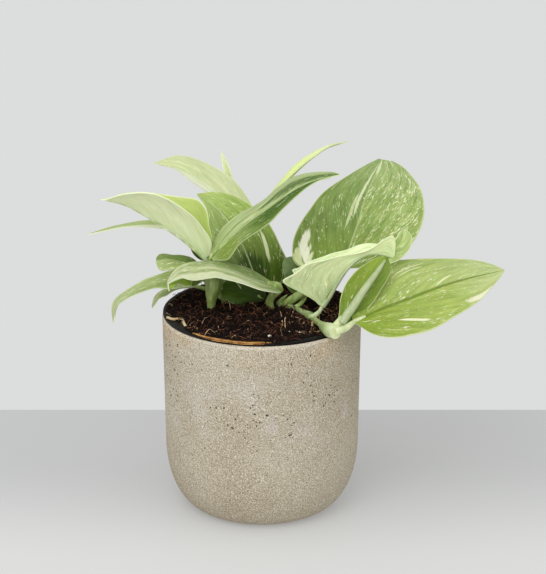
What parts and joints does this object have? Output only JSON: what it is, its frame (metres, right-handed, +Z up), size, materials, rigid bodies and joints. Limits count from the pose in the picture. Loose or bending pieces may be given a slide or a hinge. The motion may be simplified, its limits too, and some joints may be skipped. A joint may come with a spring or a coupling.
{
  "type": "potted scindapsus",
  "caption": "Aroid house plant with cream-flecked green leaves, rooted in a black grow pot inside a round matte stoneware pot.",
  "frame": {"origin": "centre of the stoneware pot's flat foot", "axes": "+Z up along the pot's axis, -Y towards the viewer of the picture, +X to the right"},
  "size_m": [0.2743, 0.1587, 0.2264],
  "materials": {
    "stoneware": "matte",
    "grow_pot": "satin",
    "mix": "fibrous",
    "husk": "dry",
    "stem": "satin",
    "root": "matte",
    "pale_leaf": "satin",
    "mid_leaf": "satin",
    "dark_leaf": "satin",
    "yellow_leaf": "satin"
  },
  "bodies": {
    "root": {"stoneware_pot": "stoneware", "grow_pot": "grow_pot", "potting_mix": "mix", "husk_strip": "husk", "left_stem": "stem", "left_side_stem": "stem", "back_stem": "stem", "creeping_stem": "stem", "pale_root": "root", "aerial_root": "root", "young_bud": "stem", "leaf_back_left": "pale_leaf", "leaf_back_spear": "pale_leaf", "leaf_back_right": "yellow_leaf", "leaf_left_pale": "pale_leaf", "leaf_left_strap": "mid_leaf", "leaf_centre_broad": "mid_leaf", "leaf_centre_pointed": "dark_leaf", "leaf_front": "mid_leaf", "leaf_right_fan": "pale_leaf", "leaf_right_tall": "mid_leaf", "leaf_right_low": "yellow_leaf", "leaf_right_folded": "yellow_leaf", "leaf_left_low": "mid_leaf", "leaf_left_blunt": "dark_leaf", "leaf_left_hook": "mid_leaf", "leaf_left_tip": "dark_leaf", "leaf_shaded": "dark_leaf", "leaf_under_fan": "dark_leaf", "leaf_behind_fan": "mid_leaf"}
  },
  "joints": []
}
